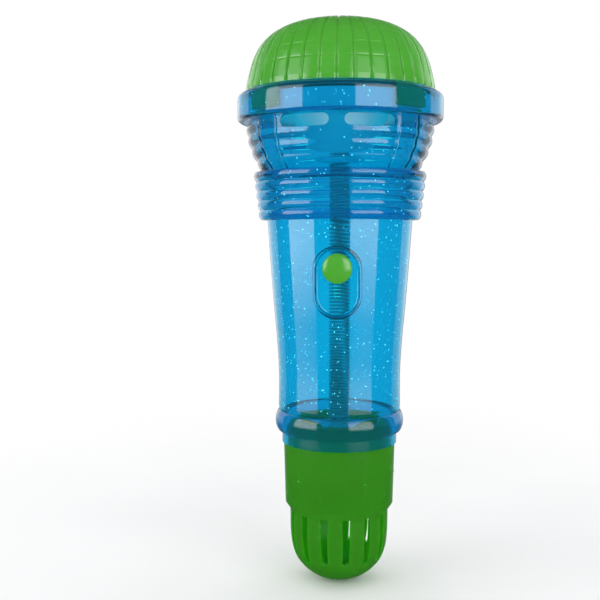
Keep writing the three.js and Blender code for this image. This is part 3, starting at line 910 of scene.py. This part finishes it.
def cap_outline():
    nose_inside = [(max(0.0, r - WALL), z + NOSE_WALL) for r, z in smooth_through(NOSE, 6)]
    return [
        *smooth_through([*NOSE, (NOSE_R, NOSE_TOP)], 8),
        (NOSE_R + 0.1, CAP_STEP_BOTTOM),
        (CAP_R_BOTTOM - 0.25, CAP_SKIRT_BOTTOM - 0.4),
        (CAP_R_BOTTOM, CAP_SKIRT_BOTTOM),
        (CAP_R_TOP - 0.25, CAP_TOP - 0.2),
        (CAP_R_TOP - 0.5, CAP_TOP),
        (SLEEVE_R, CAP_TOP),
        (SLEEVE_R, SLEEVE_TOP),
        (CAP_BORE, SLEEVE_TOP),
        (CAP_BORE, LEDGE_Z),
        (CAP_BORE - LEDGE_WIDTH, LEDGE_Z),
        (CAP_BORE - LEDGE_WIDTH, LEDGE_Z - 1.5),
        (CAP_BORE, LEDGE_Z - 3),
        (CAP_BORE, CAP_SKIRT_BOTTOM),
        (NOSE_R - WALL, NOSE_TOP),
        *nose_inside[::-1],
    ]


def vent_cutter():
    """All the vents as one cutter: slots round the nose, each with a rounded lower end."""
    half = VENT_WIDTH / 2
    tip = [(half * 0.8 * math.cos(a), VENT_BOTTOM + VENT_TIP + VENT_TIP * math.sin(a))
           for a in (math.pi + math.pi * i / 10 for i in range(11))]
    outline = [*tip, (half, VENT_TOP), (-half, VENT_TOP)]
    outside, inside = -30, -12
    vents = bmesh.new()
    for i in range(VENT_COUNT):
        one = stacked([(outline, outside), (outline, inside)])
        turn = Euler((0, 0, VENT_TURN + 2 * math.pi * i / VENT_COUNT)).to_matrix()
        bmesh.ops.rotate(one, cent=(0, 0, 0), matrix=turn, verts=one.verts)
        scratch = bpy.data.meshes.new("scratch")
        one.to_mesh(scratch)
        one.free()
        vents.from_mesh(scratch)
        bpy.data.meshes.remove(scratch)
    return finish_mesh("vents", vents)


def moulding_mark(angle):
    """A tiny round mark that stands out of the skirt."""
    mark = bmesh.new()
    bmesh.ops.create_icosphere(mark, subdivisions=3, radius=MARK_R)
    centre = (MARK_OUT * math.sin(angle), -MARK_OUT * math.cos(angle), MARK_Z)
    bmesh.ops.translate(mark, vec=centre, verts=mark.verts)
    return finish_mesh("mark", mark)


def make_cap():
    piece = finish_mesh("cap_shell", revolve(cap_outline(), even_angles(168)))
    boolean(piece, vent_cutter(), "DIFFERENCE")
    for i in range(MARK_COUNT):
        boolean(piece, moulding_mark(MARK_TURN + 2 * math.pi * i / MARK_COUNT), "UNION")
    sharpen(piece, 35)
    add_piece(piece, "housing", "green_plastic", SHADED_CAP_GREEN, "butt_cap")


# ---------------------------------------------------------------- spring and diaphragm

def make_spring():
    """A wire swept along a helix whose coils lie closer towards the bottom."""
    low = SPRING_LOW[2] + SPRING_WIRE / 2
    high = SPRING_HIGH[2] - SPRING_WIRE / 2
    length = high - low
    turns = length / (sum(SPRING_PITCH) / 2)
    even = SPRING_PITCH[0] * turns / length
    steps_per_turn, sides = 32, 8
    count = round(turns * steps_per_turn)
    bm = bmesh.new()
    rows = []
    for i in range(count + 1):
        share = i / count
        angle = 2 * math.pi * turns * share
        z = low + length * (even * share + (1 - even) * share * share)
        row = []
        for side in range(sides):
            around = 2 * math.pi * side / sides
            r = SPRING_R + SPRING_WIRE / 2 * math.cos(around)
            row.append(bm.verts.new((
                r * math.cos(angle), r * math.sin(angle), z + SPRING_WIRE / 2 * math.sin(around))))
        rows.append(row)
    for row, after in zip(rows, rows[1:]):
        for i in range(sides):
            j = (i + 1) % sides
            bm.faces.new((row[i], row[j], after[j], after[i]))
    bm.faces.new(rows[0][::-1])
    bm.faces.new(rows[-1])
    piece = finish_mesh("spring_wire", bm)
    sharpen(piece, 60)
    piece.data.materials.append(STEEL)
    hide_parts("echo_spring")
    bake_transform(piece)


def make_cup():
    """The diaphragm: a thin cone from the peg's hole to a flat edge, with rounds at both bends."""
    edge_bottom = CUP_EDGE_TOP - CUP_SKIN
    outside_r = CUP_MOUTH_R + 0.1
    outline = [
        (CUP_HOLE_R, CUP_FLOOR),
        *arc((CUP_FLOOR_R, CUP_FLOOR + CUP_ROUND), CUP_ROUND, -90, -20, 5),
        (outside_r, edge_bottom - CUP_ROUND),
        *arc((outside_r + CUP_ROUND, edge_bottom - CUP_ROUND), CUP_ROUND, 160, 90, 5),
        (CUP_EDGE_R, edge_bottom),
        (CUP_EDGE_R, CUP_EDGE_TOP),
        (CUP_MOUTH_R, CUP_EDGE_TOP),
        (CUP_FLOOR_R, CUP_FLOOR + CUP_SKIN),
        (CUP_HOLE_R, CUP_FLOOR + CUP_SKIN),
    ]
    piece = finish_mesh("echo_cup", revolve(outline, even_angles(144)))
    add_piece(piece, "diaphragm", "pale_plastic", PALE, "diaphragm")


# ---------------------------------------------------------------- glitter

def flake(bm, r, angle, z):
    """One six-sided foil flake, lying roughly along the wall."""
    size = RANDOM.uniform(*FLAKE_SIZE)
    lean = RANDOM.uniform(-FLAKE_TILT, FLAKE_TILT)
    spin = RANDOM.uniform(0, FLAKE_SPIN)
    swing = RANDOM.uniform(-FLAKE_TILT, FLAKE_TILT)
    turn = Euler((lean, spin, angle + swing), "YXZ").to_matrix()
    centre = Vector((r * math.sin(angle), -r * math.cos(angle), z))
    rings = []
    for y in (-FLAKE_THICKNESS / 2, FLAKE_THICKNESS / 2):
        corners = [Vector((size * math.cos(math.pi * i / 3), y, size * math.sin(math.pi * i / 3)))
                   for i in range(6)]
        rings.append([bm.verts.new(centre + turn @ corner) for corner in corners])
    front, back = rings
    bm.faces.new(front)
    bm.faces.new(back[::-1])
    for i in range(6):
        j = (i + 1) % 6
        bm.faces.new((front[j], front[i], back[i], back[j]))


def side_radius(z):
    """Outer radius of the barrel's tapered side at a height."""
    for (low_r, low_z), (high_r, high_z) in zip(BARREL_SIDE, BARREL_SIDE[1:]):
        if z <= high_z:
            return lerp(low_r, high_r, (z - low_z) / (high_z - low_z))
    return BARREL_SIDE[-1][0]


def in_recess(angle, z):
    across, along = abs(SWITCH_R * math.sin(angle)), abs(z - SWITCH_Z)
    in_front = math.cos(angle) > 0
    return in_front and across < RECESS_FREE_HALF_WIDTH and along < RECESS_FREE_HALF_LENGTH


def in_sound_slot(angle, z):
    across = abs(SLOT_FLAKE_R * math.sin(angle))
    return abs(z - SLOT_Z) < SLOT_FREE_HALF_HEIGHT and SLOT_FREE_NEAR < across < SLOT_FREE_FAR


def nowhere(angle, z):
    return False


def scatter(name, count, low, high, radius, kept_free):
    """Foil flakes at the radius radius(z) between two heights, except where kept_free says so."""
    bm = bmesh.new()
    for _ in range(count):
        z, angle = RANDOM.uniform(low, high), RANDOM.uniform(-math.pi, math.pi)
        if not kept_free(angle, z):
            flake(bm, radius(z), angle, z)
    piece = finish_mesh(name, bm)
    for polygon in piece.data.polygons:
        polygon.use_smooth = False
    add_piece(piece, "housing", "clear_blue_plastic", GLOWING_FOIL)


def make_glitter():
    """Flakes just under the outer surface of each clear piece."""
    scatter("glitter_barrel", 950, BARREL_SIDE[0][1], COLLAR_BOTTOM,
            lambda z: side_radius(z) - BARREL_FLAKE_DEPTH, in_recess)
    scatter("glitter_collar", 140, COLLAR_BOTTOM + 1, COLLAR_TOP - 1,
            lambda z: collar_crest(z) - COLLAR_FLAKE_DEPTH, nowhere)
    scatter("glitter_bowl", 180, COLLAR_TOP + 2, RIM_BOTTOM - 0.6,
            lambda z: bowl_radius(z) - BOWL_FLAKE_DEPTH, in_sound_slot)
    scatter("glitter_rim", 90, RIM_BOTTOM + 2, RIM_SHOULDER,
            lambda z: RIM_R - RIM_FLAKE_DEPTH, nowhere)


# ---------------------------------------------------------------- pieces kept from the CAD

def cad_looks():
    """Small inner pieces whose CAD shape is right keep it and get their material."""
    looks = {
        "diaphragm_ring": PALE,
        "top_peg": PALE,
        "anchor_spider": PALE,
        "bottom_peg": PALE,
        "switch_shoe": DOME_GREEN,
    }
    for name, material in looks.items():
        mesh = bpy.data.objects[name].data
        mesh.materials.clear()
        mesh.materials.append(material)


# ---------------------------------------------------------------- the scene round it

def softbox(name, azimuth, width, place, power):
    """A tall soft light that stands at an azimuth from the -Y side and faces the axis."""
    height, distance, middle_z = place
    lamp = bpy.data.lights.new(name, "AREA")
    lamp.shape = "RECTANGLE"
    lamp.size = width
    lamp.size_y = height
    lamp.energy = power
    light = bpy.data.objects.new(name, lamp)
    bpy.context.scene.collection.objects.link(light)
    angle = math.radians(azimuth)
    light.location = (distance * math.sin(angle), -distance * math.cos(angle), middle_z)
    toward = Vector((0, 0, middle_z)) - light.location
    light.rotation_euler = toward.to_track_quat("-Z", "Y").to_euler()
    light.visible_camera = False
    light.visible_transmission = False
    return light


def show_only_in_gloss(light):
    """Makes a lamp one for reflections, which fades out downwards and is weaker near its top."""
    light.visible_diffuse = False
    light.data.use_nodes = True
    nodes, links = light.data.node_tree.nodes, light.data.node_tree.links
    place = nodes.new("ShaderNodeNewGeometry")
    height = nodes.new("ShaderNodeSeparateXYZ")
    links.new(place.outputs["Parametric"], height.inputs[0])
    ramp(nodes, links, height.outputs["Y"], GLOSS_FADE, nodes["Emission"].inputs["Strength"])


def make_lights():
    """Each softbox is two lamps, one close in front of the other: one lights, one is seen in gloss."""
    for name, (azimuth, width, light_power, gloss_power) in SOFTBOXES.items():
        lighting = softbox(f"softbox_{name}", azimuth, width, LIGHTING_LAMP, light_power)
        lighting.visible_glossy = False
        gloss = softbox(f"softbox_{name}_gloss", azimuth, width, GLOSS_LAMP, GLOSS_POWER * gloss_power)
        show_only_in_gloss(gloss)


def choose(nodes, links, test, otherwise, chosen):
    """Gives one of two numbers, chosen where test is 1. A socket may stand for either."""
    node = nodes.new("ShaderNodeMix")
    node.data_type = "FLOAT"
    links.new(test, node.inputs[0])
    for socket, value in ((node.inputs[2], otherwise), (node.inputs[3], chosen)):
        if isinstance(value, float):
            socket.default_value = value
        else:
            links.new(value, socket)
    return node.outputs[0]


def make_world():
    """White to look at and through, weaker as a light, and dark in reflections, except at the back."""
    world = bpy.data.worlds.new("studio")
    bpy.context.scene.world = world
    world.use_nodes = True
    nodes, links = world.node_tree.nodes, world.node_tree.links
    coordinates = nodes.new("ShaderNodeTexCoord")
    direction = nodes.new("ShaderNodeSeparateXYZ")
    links.new(coordinates.outputs["Generated"], direction.inputs[0])
    mirrored = nodes.new("ShaderNodeMapRange")
    mirrored.interpolation_type = "SMOOTHSTEP"
    mirrored.inputs["From Min"].default_value = 0.75
    mirrored.inputs["From Max"].default_value = 0.95
    mirrored.inputs["To Min"].default_value = WORLD_GLOSS
    mirrored.inputs["To Max"].default_value = WORLD_BACK_GLOSS
    links.new(direction.outputs["Y"], mirrored.inputs["Value"])
    ray = nodes.new("ShaderNodeLightPath").outputs
    level = choose(nodes, links, ray["Is Diffuse Ray"], 1.0, WORLD_LIGHT)
    level = choose(nodes, links, ray["Is Glossy Ray"], level, mirrored.outputs["Result"])
    level = choose(nodes, links, ray["Is Transmission Ray"], level, 1.0)
    background = nodes["Background"]
    background.inputs["Color"].default_value = (1, 1, 1, 1)
    links.new(level, background.inputs["Strength"])


def make_floor():
    """A pale floor that fades into the white surround away from the object."""
    material, nodes, links, shader = new_material("pale_floor")
    grain = noise(nodes, links, scale=8, detail=3)
    ramp(nodes, links, grain, ((0.3, 0.88), (0.7, 0.91)), shader.inputs["Base Color"])
    shader.inputs["Roughness"].default_value = 0.9
    white = nodes.new("ShaderNodeEmission")
    coordinates = nodes.new("ShaderNodeTexCoord")
    distance = nodes.new("ShaderNodeVectorMath")
    distance.operation = "LENGTH"
    links.new(coordinates.outputs["Object"], distance.inputs[0])
    fade = nodes.new("ShaderNodeMapRange")
    fade.interpolation_type = "SMOOTHSTEP"
    fade.inputs["From Min"].default_value, fade.inputs["From Max"].default_value = FLOOR_FADE
    links.new(distance.outputs["Value"], fade.inputs["Value"])
    links.new(fade.outputs["Result"], mix_on_surface(nodes, links, shader, white))
    bm = bmesh.new()
    half, height = FLOOR_HALF / MM, BOTTOM - FLOOR_DROP / MM
    corners = ((-half, -half), (half, -half), (half, half), (-half, half))
    bm.faces.new([bm.verts.new((x, y, height)) for x, y in corners])
    floor = finish_mesh("studio_floor", bm)
    floor.data.materials.append(material)
    floor.visible_glossy = False


def make_camera():
    """The camera stands in front, a little right of the knob, and looks slightly down."""
    data = bpy.data.cameras.new("camera")
    data.lens = CAMERA_LENS
    data.sensor_width = CAMERA_SENSOR
    camera = bpy.data.objects.new("camera", data)
    bpy.context.scene.collection.objects.link(camera)
    x = CAMERA_DISTANCE * math.sin(CAMERA_AZIMUTH)
    y = -CAMERA_DISTANCE * math.cos(CAMERA_AZIMUTH)
    camera.location = (x, y, CAMERA_HEIGHT)
    camera.rotation_euler = Euler((math.pi / 2 - CAMERA_PITCH, 0, CAMERA_AZIMUTH + CAMERA_YAW))
    bpy.context.scene.camera = camera


make_camera()
make_dome()
make_rim()
make_head()
make_barrel()
make_knob()
make_cap()
make_spring()
make_cup()
make_glitter()
cad_looks()
make_lights()
make_world()
make_floor()
bpy.context.scene.view_settings.view_transform = "Standard"
bpy.context.scene.cycles.use_denoising = True
